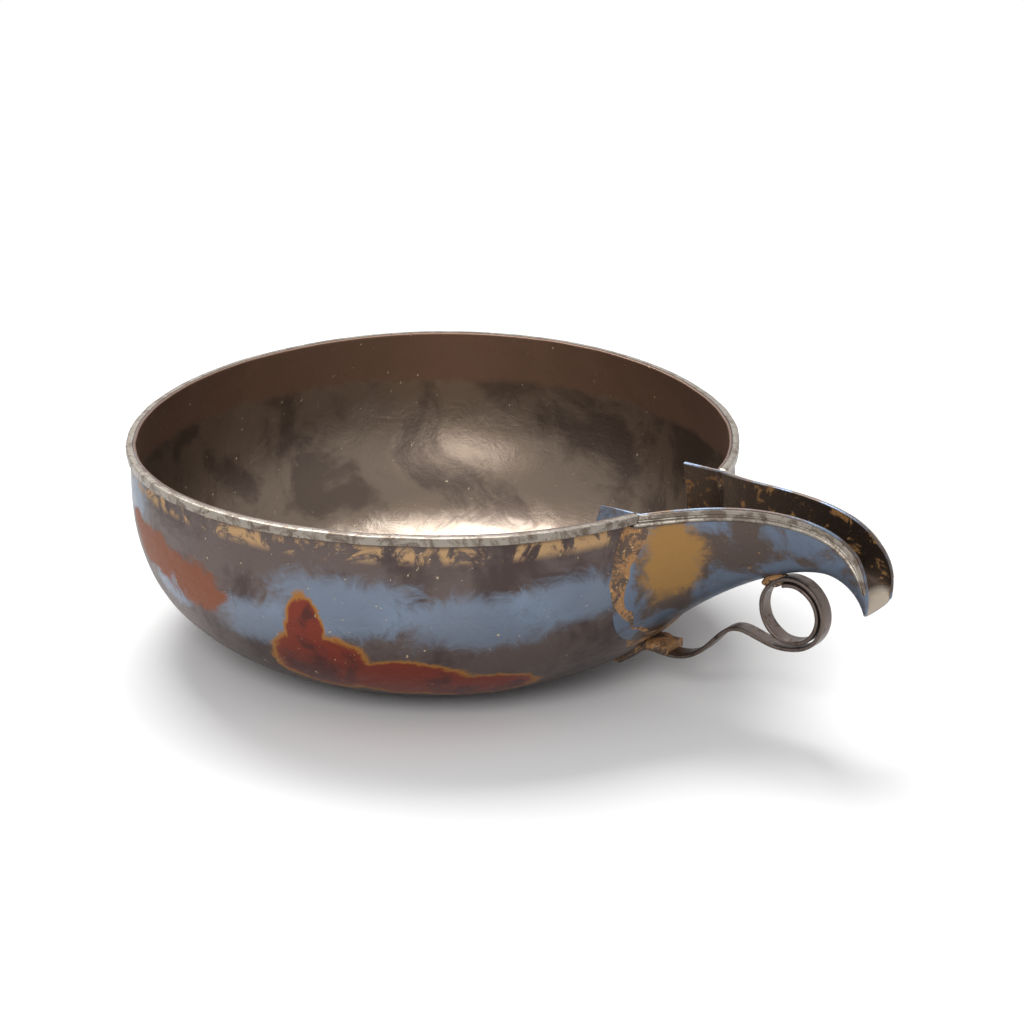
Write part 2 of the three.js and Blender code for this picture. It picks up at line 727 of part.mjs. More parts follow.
function place(name, solid, material) {
  const mesh = new THREE.Mesh(geometryOf(solid), material);
  mesh.name = name;
  vessel.add(mesh);
}

place("bowl_shell", largest(bowlShell().subtract(channel)), silver);
place("spout_trough", largest(spoutTrough().subtract(bowlClearance)), silver);
place("bowl_rim_wire", largest(rimWire().subtract(wireClearance)), brightSilver);
place("spout_rim_wire_right", largest(spoutMoulding(-1).subtract(bowlClearance)), brightSilver);
place("spout_rim_wire_left", largest(spoutMoulding(1).subtract(bowlClearance)), brightSilver);
place("spout_seam_solder", largest(seamBody(0).subtract(bowlClearance).subtract(spoutClearance)), solder);
place("handle_strap", ribbon(0), darkSilver);
place("handle_root_solder", rootSolder(bowlClearance, seamBody(FILM)), solder);
place("handle_coil_solder", coilSolder(spoutClearance), solder);

export default vessel;
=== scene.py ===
# The looks of a pouring bowl of old silver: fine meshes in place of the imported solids, and a painted patina.
# Lengths are in millimetres until a mesh is made, and angles run round the bowl's axis from the spout.

import math

import bpy
import numpy as np
from mathutils import Matrix, Vector


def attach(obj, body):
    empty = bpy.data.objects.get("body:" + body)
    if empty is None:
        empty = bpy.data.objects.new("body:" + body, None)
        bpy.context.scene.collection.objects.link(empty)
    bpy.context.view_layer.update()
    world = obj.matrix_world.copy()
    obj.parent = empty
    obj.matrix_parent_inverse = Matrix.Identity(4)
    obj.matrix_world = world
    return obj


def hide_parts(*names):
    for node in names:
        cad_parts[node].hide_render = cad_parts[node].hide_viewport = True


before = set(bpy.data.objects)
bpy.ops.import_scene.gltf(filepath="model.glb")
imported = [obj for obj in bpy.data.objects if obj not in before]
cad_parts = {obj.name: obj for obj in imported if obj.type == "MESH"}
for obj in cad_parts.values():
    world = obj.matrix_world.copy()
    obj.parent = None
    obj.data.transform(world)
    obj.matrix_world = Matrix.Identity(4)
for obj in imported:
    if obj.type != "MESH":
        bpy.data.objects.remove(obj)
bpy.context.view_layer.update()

MM = 0.001

# Bowl
BOWL_HEIGHT = 66.9
BASE_RADIUS = 30
BODY_RADIUS = 94.1
BODY_HEIGHT = 52
RIM_DRAW_IN = 0.7
BASE_SWEEP = 42.6
WALL_SWEEP = 34.7
WALL = 1.2
RIM_CORNERING = 0.58
RIM_SADDLE = 0.96
RIM_SADDLE_ANGLE = math.radians(24.6)
RIM_WIRE_HEIGHT = 3.2
RIM_WIRE_PROUD = 1.6

# Spout
MOUTH_HALF_WIDTH = 22.9
THROAT_HALF_WIDTH = 5.6
TAPER_LENGTH = 24
MOUTH_SWELL = 8
CREST_REACH = 36.5
CREST_RISE = 3.9
TIP_REACH = 68.5
TIP_DROP = 20.3
TIP_FLARE = 1.2
MOUTH_BOTTOM = 20.2
BEND_REACH = 50.5
BEND_DROP = 14.6
TIP_DEPTH = 4.2
TIP_SLANT = math.radians(47)
BAND_HEIGHT = 1.6
BAND_PROUD = 0.7
GROOVE_HEIGHT = 0.8
BEAD_HEIGHT = 1.8
BEAD_PROUD = 1.0

# Solder along the seam of bowl and spout
SEAM_LEG = 3.4  # how far it spreads on each sheet
SEAM_EDGE = 0.04  # how far its edges stand off the sheets
SEAM_FILL = 0.25  # how far it fills the corner
SEAM_FOOT = 0.5  # how far it is let into the sheets
SEAM_CORE = 0.8  # how far it is let into the corner

# Ribbon handle
RIBBON_THICKNESS = 1.4
TONGUE_HALF_WIDTH = 4.1
STRAP_HALF_WIDTH = 3.6
COIL_HALF_WIDTH = 2.65
TONGUE_RADIUS = 72.6
TONGUE_LENGTH = 9.2
DIP_REACH = 10.5
DIP_RISE = 1.0
COIL_REACH = 39.7
COIL_OUTER_RADIUS = 11.4
COIL_PITCH = 1.9
COIL_START = math.radians(-75)
COIL_TURN = math.radians(545)
HUMP_BEFORE_COIL = 17.2
HUMP_BELOW_COIL = 9.4
RIBBON_WEAR = 0.09

# Solder at the handle's root
ROOT_SPREAD = 1.4
ROOT_RISE = 3.2
ROOT_SUNK = 0.1
ROOT_LUMPS = 0.35

FILM = 0.3  # the gap that the solids leave between soldered pieces
OVERLAP = 0.1  # how far the dressed pieces reach into one another instead
EDGE_ROUNDING = 0.35  # how far the spout's bare edges bulge

RIM_RADIUS = BODY_RADIUS - RIM_DRAW_IN
LIP_RADIUS = RIM_RADIUS + FILM + RIM_WIRE_PROUD
RIM_X = math.sqrt(LIP_RADIUS ** 2 - MOUTH_HALF_WIDTH ** 2)

# Places along the spout, as shares of its length
WELL_INSIDE = -0.2
WELL_OUTSIDE = 0.3
MOULDING_START = -0.06
MOULDING_END = 0.93

# How finely the surfaces are cut
ROUND_STEPS = 540
OUTLINE_STEPS = 130
SPOUT_STEPS = 150
SECTION_STEPS = 44
RIBBON_STEPS = 420
SEAM_STEPS = 110
HEADROOM = 30
RIBBON_STEP = 0.002  # shares of the ribbon's length that its direction is taken over
SHARP_ANGLE = math.radians(35)

# Noise
NOISE_COUNT = 4096
NOISE_KEYS = (73856093, 19349663, 83492791)

# Camera
AZIMUTH = math.radians(35.5)
ELEVATION = math.radians(21.07)
DISTANCE = 1.2
TARGET = Vector((0.01154, 0.02583, 0.03399))
LENS = 132.59

# Light, in metres and watts
LIT_PLACE = (0, 0, 0.03)
KEY_PLACE, KEY_SIZE, KEY_POWER = (-0.5, 0.35, 1.1), (0.7, 0.7), 14
FRONT_PLACE, FRONT_SIZE, FRONT_POWER = (0.5, -1.2, 0.9), (0.6, 0.6), 8
SKY_STRENGTH = 0.55
FLOOR_RADIUS = 6
FADE_START = 0.16  # the floor turns to plain white from here
FADE_END = 0.42


# Curves and noise

def bezier(points, count=120):
    share = np.linspace(0, 1, count)[:, None]
    level = [np.asarray(p, float)[None].repeat(count, 0) for p in points]
    while len(level) > 1:
        level = [a * (1 - share) + b * share for a, b in zip(level, level[1:])]
    return level[0]


def joined(*runs):
    return np.vstack([runs[0]] + [run[1:] for run in runs[1:]])


def on_line(line, share):
    """Points of a chain of points at shares of its length."""
    steps = np.linalg.norm(np.diff(line, axis=0), axis=1)
    length = np.concatenate([[0], np.cumsum(steps)])
    at = np.asarray(share) * length[-1]
    return np.stack([np.interp(at, length, line[:, k]) for k in range(line.shape[1])], -1)


def line_length(line):
    return float(np.linalg.norm(np.diff(line, axis=0), axis=1).sum())


def unit(vectors):
    return vectors / np.maximum(np.linalg.norm(vectors, axis=-1, keepdims=True), 1e-9)


def smoothstep(value, low, high):
    share = np.clip((np.asarray(value, float) - low) / (high - low), 0, 1)
    return share * share * (3 - 2 * share)


def noise(points, size, seed):
    """Smooth noise from -1 to 1 at points, in lumps of about a size."""
    table = np.random.default_rng(seed).uniform(-1, 1, NOISE_COUNT)
    place = np.asarray(points, float) / size
    cell = np.floor(place).astype(np.int64)
    share = place - cell
    share = share * share * (3 - 2 * share)
    total = np.zeros(place.shape[:-1])
    for corner in np.ndindex(2, 2, 2):
        key = (cell + np.array(corner)) * NOISE_KEYS
        index = (key[..., 0] ^ key[..., 1] ^ key[..., 2]) & (NOISE_COUNT - 1)
        weight = np.prod(np.where(np.array(corner) == 1, share, 1 - share), axis=-1)
        total += table[index] * weight
    return total


# Meshes

def new_piece(name, points, faces, materials=(), face_material=None):
    mesh = bpy.data.meshes.new(name)
    mesh.from_pydata((np.asarray(points) * MM).tolist(), [], [tuple(int(i) for i in f) for f in faces])
    for material in materials:
        mesh.materials.append(material)
    if face_material is not None:
        mesh.polygons.foreach_set("material_index", np.asarray(face_material, np.int32))
    mesh.validate()
    finish_shading(mesh)
    piece = bpy.data.objects.new(name, mesh)
    bpy.context.scene.collection.objects.link(piece)
    return piece


def finish_shading(mesh):
    mesh.polygons.foreach_set("use_smooth", np.ones(len(mesh.polygons), bool))
    mesh.set_sharp_from_angle(angle=SHARP_ANGLE)
    mesh.update()


def cut(piece, tool):
    """Takes a tool's closed mesh away from the piece's, and deletes the tool."""
    modifier = piece.modifiers.new("cut", "BOOLEAN")
    modifier.operation = "DIFFERENCE"
    modifier.solver = "MANIFOLD"
    modifier.object = tool
    bpy.context.view_layer.update()
    graph = bpy.context.evaluated_depsgraph_get()
    mesh = bpy.data.meshes.new_from_object(piece.evaluated_get(graph))
    piece.modifiers.clear()
    piece.data = mesh
    mesh.name = piece.name
    bpy.data.objects.remove(tool)
    finish_shading(mesh)
    return piece


def quads(rows, count, closed):
    """Faces of a grid of points, closed across the rows or open."""
    i, j = np.meshgrid(np.arange(rows - 1), np.arange(count if closed else count - 1), indexing="ij")
    after = (j + 1) % count
    corners = [i * count + j, i * count + after, (i + 1) * count + after, (i + 1) * count + j]
    return np.stack(corners, -1).reshape(-1, 4)


def skin(rings):
    """Joins rings of points and closes both ends with a fan."""
    rings = np.asarray(rings)
    rows, count = rings.shape[:2]
    points = np.vstack([rings.reshape(-1, 3), rings[0].mean(0)[None], rings[-1].mean(0)[None]])
    faces = [list(f) for f in quads(rows, count, True)]
    last = (rows - 1) * count
    for j in range(count):
        after = (j + 1) % count
        faces.append([after, j, rows * count])
        faces.append([last + j, last + after, rows * count + 1])
    return points, faces


def outward(points, faces):
    """Turns all faces over if they face inward."""
    points = np.asarray(points)
    volume = 0.0
    for face in faces:
        a = points[face[0]]
        for b, c in zip(face[1:-1], face[2:]):
            volume += float(np.dot(a, np.cross(points[b], points[c])))
    return faces if volume > 0 else [list(reversed(f)) for f in faces]


def sheet_solid(outer, inner, bulge):
    """Joins two sheets of points along their edges, with the edges rounded outward by a bulge."""
    rows, count = outer.shape[:2]
    size = rows * count
    top = quads(rows, count, False)
    faces = [list(f) for f in top] + [list(f[::-1] + size) for f in top]
    rim = [(i, 0) for i in range(rows)] + [(rows - 1, j) for j in range(1, count)]
    rim += [(i, count - 1) for i in range(rows - 2, -1, -1)] + [(0, j) for j in range(count - 2, 0, -1)]
    middle = (outer + inner) / 2
    inward = np.array([middle[min(max(i, 1), rows - 2), min(max(j, 1), count - 2)] for i, j in rim])
    edge = np.array([middle[i, j] for i, j in rim])
    away = unit(edge - inward)
    points = [outer.reshape(-1, 3), inner.reshape(-1, 3)]
    low = len(rim)
    for share, out in ((0.25, 0.8), (0.5, 1.0), (0.75, 0.8)):
        row = np.array([outer[i, j] * (1 - share) + inner[i, j] * share for i, j in rim])
        points.append(row + away * bulge * out)
    chain = [[i * count + j for i, j in rim]]
    chain += [[2 * size + k * low + n for n in range(low)] for k in range(3)]
    chain += [[size + i * count + j for i, j in rim]]
    for upper, under in zip(chain, chain[1:]):
        for n in range(low):
            after = (n + 1) % low
            faces.append([upper[after], upper[n], under[n], under[after]])
    return np.vstack(points), faces


# Bowl

BELLY = joined(
    bezier([
        (BASE_RADIUS, 0),
        (BASE_RADIUS + BASE_SWEEP, 0),
        (BODY_RADIUS, BODY_HEIGHT - WALL_SWEEP),
        (BODY_RADIUS, BODY_HEIGHT),
    ], 300),
    bezier([
        (BODY_RADIUS, BODY_HEIGHT),
        (BODY_RADIUS, (BODY_HEIGHT + BOWL_HEIGHT) / 2),
        (RIM_RADIUS, BOWL_HEIGHT),
    ], 80),
)


def outline(offset, count=OUTLINE_STEPS):
    """The bowl's outline from base to rim, moved outward by an offset, and its outward directions."""
    points = on_line(BELLY, np.linspace(0, 1, count + 1))
    heading = unit(np.gradient(points, axis=0))
    normal = np.stack([heading[:, 1], -heading[:, 0]], -1)
    moved = points + normal * offset
    moved[0] = (BASE_RADIUS, -offset)
    moved[-1, 1] = BOWL_HEIGHT
    return moved, normal


def waviness(angle, height):
    share = (height / BOWL_HEIGHT) ** 2
    out = share * RIM_CORNERING * np.cos(3 * angle)
    up = -share * RIM_SADDLE * np.cos(2 * (angle - RIM_SADDLE_ANGLE))
    return out, up


def warp(points):
    """Puts the rim's waviness into points round the axis."""
    angle = np.arctan2(points[..., 1], points[..., 0])
    radius = np.hypot(points[..., 0], points[..., 1])
    out, up = waviness(angle, points[..., 2])
    wider = 1 + out * np.minimum(1, radius / BODY_RADIUS) / np.maximum(radius, 1e-6)
    return np.stack([points[..., 0] * wider, points[..., 1] * wider, points[..., 2] + up], -1)


def dents(points):
    """How far the hammer marks push the sheet outward."""
    height = points[..., 2]
    off_base = smoothstep(np.hypot(points[..., 0], points[..., 1]), BASE_RADIUS, BASE_RADIUS + 25)
    broad = 0.32 * noise(points, 27, 1) + 0.16 * noise(points, 12, 2) + 0.05 * noise(points, 5, 3)
    near_rim = 0.22 * smoothstep(height, 40, BOWL_HEIGHT) * noise(points, 9, 4)
    return off_base * (broad + near_rim)


def lathe(profile, normals):
    """Turns a profile, which starts and ends on the axis, round it, and adds the dents and the waviness."""
    turn = np.arange(ROUND_STEPS) * 2 * math.pi / ROUND_STEPS
    radius, height = profile[1:-1, 0][:, None], profile[1:-1, 1][:, None]
    points = np.stack([radius * np.cos(turn), radius * np.sin(turn), height + 0 * turn], -1)
    push = dents(points)[..., None]
    out, up = normals[1:-1, 0][:, None], normals[1:-1, 1][:, None]
    points = points + np.stack([out * np.cos(turn), out * np.sin(turn), up + 0 * turn], -1) * push
    points = warp(points)
    rows = len(points)
    ends = [(0, 0, profile[0, 1]), (0, 0, profile[-1, 1])]
    faces = [list(f) for f in quads(rows, ROUND_STEPS, True)]
    last = (rows - 1) * ROUND_STEPS
    for j in range(ROUND_STEPS):
        after = (j + 1) % ROUND_STEPS
        faces.append([after, j, rows * ROUND_STEPS])
        faces.append([last + j, last + after, rows * ROUND_STEPS + 1])
    return np.vstack([points.reshape(-1, 3), ends]), faces


def bowl_profile():
    """The sheet's whole section: axis, base, wall, rounded lip, and back down inside."""
    outside, out_normal = outline(0)
    inside, in_normal = outline(-WALL)
    base = np.stack([np.linspace(0, BASE_RADIUS, 24)[:-1], np.zeros(23)], -1)
    floor = np.stack([np.linspace(BASE_RADIUS, 0, 24)[1:], np.full(23, WALL)], -1)
    down = np.array([[0.0, -1.0]])
    radius = WALL / 2
    turn = np.linspace(0, math.pi, 9)
    lip = np.stack([
        RIM_RADIUS - radius + radius * np.cos(turn),
        BOWL_HEIGHT - radius * 0.5 + radius * 0.5 * np.sin(turn),
    ], -1)
    outside[-1, 1] = BOWL_HEIGHT - radius * 0.5
    inside[-1, 1] = BOWL_HEIGHT - radius * 0.5
    profile = np.vstack([base, outside[:-1], lip, inside[::-1][1:], floor])
    lip_normal = np.repeat(out_normal[-1:], len(lip), 0)
    normals = np.vstack([
        np.repeat(down, len(base), 0),
        out_normal[:-1],
        lip_normal,
        in_normal[::-1][1:],
        np.repeat(down, len(floor), 0),
    ])
    outer_rows = len(base) + len(outside) - 1 + len(lip) // 2
    return profile, normals, outer_rows


def bowl_body(offset, headroom):
    """Everything inside the bowl's outside, closed well above the rim."""
    points, normal = outline(offset)
    top = BOWL_HEIGHT + headroom
    profile = np.vstack([[(0, -offset)], points, [(points[-1, 0], top)], [(0, top)]])
    normals = np.vstack([[(0, -1)], normal, [(1, 0)], [(0, 1)]])
    solid, faces = lathe(profile, normals)
    return new_piece("bowl_body", solid, outward(solid, faces))


def bowl_radius(height, angle):
    out, up = waviness(angle, height)
    level = np.clip(height - up, 0, BOWL_HEIGHT)
    return np.interp(level, BELLY[:, 1], BELLY[:, 0]) + out


# Spout

crest = np.array([RIM_X + CREST_REACH, BOWL_HEIGHT + CREST_RISE])
tip = np.array([RIM_X + TIP_REACH, BOWL_HEIGHT - TIP_DROP])
edge_start = np.array([RIM_X, BOWL_HEIGHT - RIM_SADDLE / 2])
EDGE_LINE = joined(
    bezier([
        edge_start,
        edge_start + (crest - edge_start) * 0.37 + (0, CREST_RISE * 0.13),
        (crest[0] - CREST_REACH * 0.33, crest[1]),
        crest,
    ]),
    bezier([
        crest,
        (crest[0] + (tip[0] - crest[0]) * 0.65, crest[1]),
        (tip[0] + (tip[0] - crest[0]) * 0.04, tip[1] + (crest[1] - tip[1]) * 0.74),
        tip,
    ]),
)
keel_start = np.array([bowl_radius(MOUTH_BOTTOM, 0) + FILM, MOUTH_BOTTOM])
keel_bend = np.array([RIM_X + BEND_REACH, BOWL_HEIGHT - BEND_DROP])
keel_end = tip - (TIP_DEPTH * math.cos(TIP_SLANT), TIP_DEPTH * math.sin(TIP_SLANT))
keel_run = keel_bend - keel_start
KEEL_LINE = joined(
    bezier([
        keel_start,
        keel_start + keel_run * (0.2, 0.375),
        (keel_start[0] + keel_run[0] * 0.69, keel_bend[1] - keel_run[1] * 0.025),
        keel_bend,
    ]),
    bezier([
        keel_bend,
        (keel_bend[0] + (keel_end[0] - keel_bend[0]) * 0.42, keel_bend[1]),
        (
            keel_end[0] - (keel_end[0] - keel_bend[0]) * 0.16,
            keel_end[1] + (keel_bend[1] - keel_end[1]) * 0.64,
        ),
        keel_end,
    ]),
)


def half_section(along):
    """Half the spout's section, edge to keel, evenly spaced. Along is 0 at the bowl and 1 at the tip."""
    reach = min(max(along, 0), 1)
    edge = on_line(EDGE_LINE, reach)
    keel = on_line(KEEL_LINE, reach)
    flare = TIP_FLARE * max(0, math.sin(math.pi * min(max((reach - 0.8) / 0.25, 0), 1)))
    narrowing = math.exp(-(edge[0] - RIM_X) / TAPER_LENGTH)
    half_width = THROAT_HALF_WIDTH + (MOUTH_HALF_WIDTH - THROAT_HALF_WIDTH) * narrowing + flare
    swell = MOUTH_SWELL * math.exp(-reach / 0.09)
    fullness = 1.7 + 4.3 * math.exp(-reach / 0.12) + 0.6 * min(max((reach - 0.6) / 0.4, 0), 1)
    turn = np.linspace(0, math.pi / 2, 160)
    depth = np.sin(turn) ** (2 / fullness)
    side = half_width + swell * np.sin(math.pi / 2 * np.minimum(1, depth / 0.65))
    points = np.stack([
        edge[0] + (keel[0] - edge[0]) * depth + min(along, 0) * TIP_REACH,
        side * np.cos(turn),
        edge[1] + (keel[1] - edge[1]) * depth,
    ], -1)
    return on_line(points, np.linspace(0, 1, SECTION_STEPS + 1))


def section(along):
    left = half_section(along)
    right = left * (1, -1, 1)
    return np.vstack([right, left[::-1][1:]])


def offset_section(along, offset):
    step = 0.004
    here = section(along)
    onward = section(along + step) - section(along - step)
    across = np.gradient(here, axis=0)
    normal = unit(np.cross(across, onward))
    return here + normal * np.asarray(offset)[..., None]


def stations(end):
    places = np.concatenate([[WELL_INSIDE, -0.1, -0.05], (np.arange(SPOUT_STEPS + 1) / SPOUT_STEPS) ** 1.3])
    return places[places <= end]


def spout_sheet(end, offset):
    return np.array([offset_section(along, offset) for along in stations(end)])


def spout_body(end, offset, headroom):
    rings = []
    for row in spout_sheet(end, offset):
        lid = row[[-1, 0]] + (0, 0, headroom)
        rings.append(np.vstack([row, lid]))
    points, faces = skin(rings)
    return new_piece("spout_body", points, outward(points, faces))


def sheet_point(along, share, offset):
    row = section(along) if offset == 0 else offset_section(along, offset)
    index = min(max((share + 1) * SECTION_STEPS, 0), 2 * SECTION_STEPS)
    low = min(int(index), 2 * SECTION_STEPS - 1)
    return row[low] * (1 - (index - low)) + row[low + 1] * (index - low)


def seam_place(share):
    inside, outside = WELL_INSIDE, WELL_OUTSIDE
    for _ in range(20):
        middle = (inside + outside) / 2
        point = sheet_point(middle, share, 0)
        if math.hypot(point[0], point[1]) > bowl_radius(point[2], math.atan2(point[1], point[0])):
            outside = middle
        else:
            inside = middle
    return outside


def bowl_normal(point):
    angle = math.atan2(point[1], point[0])
    lean = bowl_radius(point[2] + 0.5, angle) - bowl_radius(point[2] - 0.5, angle)
    return unit(np.array([math.cos(angle), math.sin(angle), -lean]))


def on_bowl(point, offset):
    angle = math.atan2(point[1], point[0])
    radius = bowl_radius(point[2], angle)
    surface = np.array([radius * math.cos(angle), radius * math.sin(angle), point[2]])
    return surface + bowl_normal(surface) * offset


def seam_ring(share):
    leg = SEAM_LEG * (1 + 0.25 * float(noise(np.array([share * 30, 0, 0]), 1.7, 11)))
    along = seam_place(share)
    corner = sheet_point(along, share, 0)
    step = 0.01
    ahead = sheet_point(seam_place(share + step), share + step, 0)
    behind = sheet_point(seam_place(share - step), share - step, 0)
    heading = unit(ahead - behind)
    bowl_out = bowl_normal(corner)
    away = unit(np.cross(bowl_out, heading))
    onward = sheet_point(along + step, share, 0) - corner
    if np.dot(away, onward) > 0:
        away = -away
    spout_leg = along + leg * step / np.linalg.norm(onward)
    bowl_leg = corner + away * leg
    spout_out = unit(sheet_point(along, share, 1) - corner)
    between = unit(bowl_out + spout_out)
    fill = corner + between * SEAM_FILL
    surface = bezier([on_bowl(bowl_leg, SEAM_EDGE), fill, sheet_point(spout_leg, share, SEAM_EDGE)], 13)
    core = corner - between * SEAM_CORE
    bowl_foot = on_bowl(bowl_leg, -SEAM_FOOT)
    spout_foot = sheet_point(spout_leg, share, -SEAM_FOOT)
    return np.vstack([core[None], bowl_foot[None], surface, spout_foot[None]])


def chain_point(points, distance):
    return on_line(points, min(distance / line_length(points), 1))


def moulding_rings(side, start, end, steps):
    """The double moulding's section, carried along one edge of the spout."""
    profile = []
    for share in np.linspace(0, 1, 9):
        thick = BAND_PROUD * min(1, 1.6 * math.sin(math.pi * (0.12 + 0.8 * share)) ** 0.6)
        profile.append((thick, BAND_HEIGHT * share))
    for share in np.linspace(0.15, 0.85, 5):
        thick = BAND_PROUD * (0.4 - 0.25 * math.sin(math.pi * share))
        profile.append((thick, BAND_HEIGHT + GROOVE_HEIGHT * share))
    for share in np.linspace(0, 1, 9):
        thick = max(0.05, BEAD_PROUD * math.sin(math.pi * (0.08 + 0.88 * share)) ** 0.7)
        profile.append((thick, BAND_HEIGHT + GROOVE_HEIGHT + BEAD_HEIGHT * share))
    bottom = BAND_HEIGHT + GROOVE_HEIGHT + BEAD_HEIGHT
    profile = [(-0.3, 0.15)] + profile + [(-0.3, bottom - 0.1)]
    rings = []
    for along in np.linspace(start, end, steps):
        fade = min(1, (1 - along) / 0.2)
        base = offset_section(along, 0.0)
        proud = offset_section(along, 1.0)
        half = base[:SECTION_STEPS + 1] if side < 0 else base[SECTION_STEPS:][::-1]
        out = proud[:SECTION_STEPS + 1] if side < 0 else proud[SECTION_STEPS:][::-1]
        ring = []
        for thick, down in profile:
            foot = chain_point(half, down * fade)
            direction = unit(chain_point(out, down * fade) - foot)
            wear = 1 + 0.12 * float(noise(foot, 4, 7))
            ring.append(foot + direction * (thick * (0.35 + 0.65 * fade) * wear))
        rings.append(ring)
    return np.array(rings)


# Ribbon handle

def keel_height(x):
    order = np.argsort(KEEL_LINE[:150, 0])
    return np.interp(x, KEEL_LINE[order, 0], KEEL_LINE[order, 1])


turns_to_top = (math.pi / 2 - COIL_START) / (2 * math.pi)
coil_top = COIL_OUTER_RADIUS - COIL_PITCH * turns_to_top + RIBBON_THICKNESS / 2
coil_x = RIM_X + COIL_REACH
aside = np.arange(-0.8, 0.8001, 0.05)
coil_height = float(np.min(
    [keel_height(coil_x + a * coil_top) - FILM - coil_top * math.sqrt(1 - a ** 2) for a in aside]
))
COIL_MIDDLE = np.array([coil_x, coil_height - FILM / 2])


def below_belly(radius, offset):
    points, _ = outline(offset)
    return np.array([radius, np.interp(radius, points[:, 0], points[:, 1])])


def ribbon_path():
    offset = FILM + RIBBON_THICKNESS / 2
    end = below_belly(TONGUE_RADIUS, offset)
    rise = unit(below_belly(TONGUE_RADIUS + TONGUE_LENGTH, offset) - end)
    leaving_radius = TONGUE_RADIUS + TONGUE_LENGTH * rise[0]
    tongue = np.array([below_belly(r, offset) for r in np.linspace(TONGUE_RADIUS, leaving_radius, 30)])
    leaving = tongue[-1]
    heading = unit(tongue[-1] - tongue[-2])
    dip = leaving + (DIP_REACH, DIP_RISE)
    hump = COIL_MIDDLE - (HUMP_BEFORE_COIL, HUMP_BELOW_COIL)
    turned = np.linspace(0, COIL_TURN, 400)
    radius = COIL_OUTER_RADIUS - COIL_PITCH * turned / (2 * math.pi)
    angle = COIL_START + turned
    coil = COIL_MIDDLE + np.stack([radius * np.cos(angle), radius * np.sin(angle)], -1)
    start = coil[0]
    turning = unit(coil[1] - coil[0])
    stride = hump[0] - dip[0]
    return joined(
        tongue,
        bezier([leaving, leaving + heading * DIP_REACH / 3, (dip[0] - DIP_REACH * 0.43, dip[1]), dip]),
        bezier([dip, (dip[0] + stride * 0.57, dip[1]), (hump[0] - stride * 0.37, hump[1]), hump]),
        bezier([
            hump,
            (hump[0] + HUMP_BEFORE_COIL * 0.27, hump[1]),
            start - turning * HUMP_BEFORE_COIL * 0.58,
            start,
        ]),
        coil,
    )


def ribbon_half_width(distance):
    tongue = smoothstep(distance, 0, 2 * TONGUE_LENGTH)
    strap = smoothstep(distance, 2 * TONGUE_LENGTH, 6 * TONGUE_LENGTH)
    root = TONGUE_HALF_WIDTH + (STRAP_HALF_WIDTH - TONGUE_HALF_WIDTH) * tongue
    return root + (COIL_HALF_WIDTH - root) * strap


def ribbon_rings(path, steps, wider=0.0, above=RIBBON_THICKNESS / 2, below=RIBBON_THICKNESS / 2, worn=0.0):
    length = line_length(path)
    shares = np.linspace(0, 1, steps + 1)
    points = on_line(path, shares)
    after = on_line(path, np.minimum(1, shares + RIBBON_STEP))
    before = on_line(path, np.maximum(0, shares - RIBBON_STEP))
    heading = unit(after - before)
    turn = np.linspace(0, 2 * math.pi, 32, endpoint=False)
    rings = []
    for point, ahead, share in zip(points, heading, shares):
        half = float(ribbon_half_width(share * length)) + wider
        thick = (above + below) / 2
        middle = (above - below) / 2
        across = half * np.sign(np.cos(turn)) * np.abs(np.cos(turn)) ** 0.35
        up = middle + thick * np.sign(np.sin(turn)) * np.abs(np.sin(turn)) ** 0.55
        ring = np.stack([point[0] - ahead[1] * up, across, point[1] + ahead[0] * up], -1)
        if worn:
            out = unit(ring - ring.mean(0))
            ring = ring + out * (worn * noise(ring * (0.35, 1, 0.35), 1.3, 21))[:, None]
        rings.append(ring)
    return np.array(rings)


# Painted materials

def colour(red, green, blue):
    """A colour as it is written on a screen, 0 to 255, in the renderer's linear values."""
    def linear(value):
        value = value / 255
        return value / 12.92 if value <= 0.04045 else ((value + 0.055) / 1.055) ** 2.4
    return (linear(red), linear(green), linear(blue), 1.0)


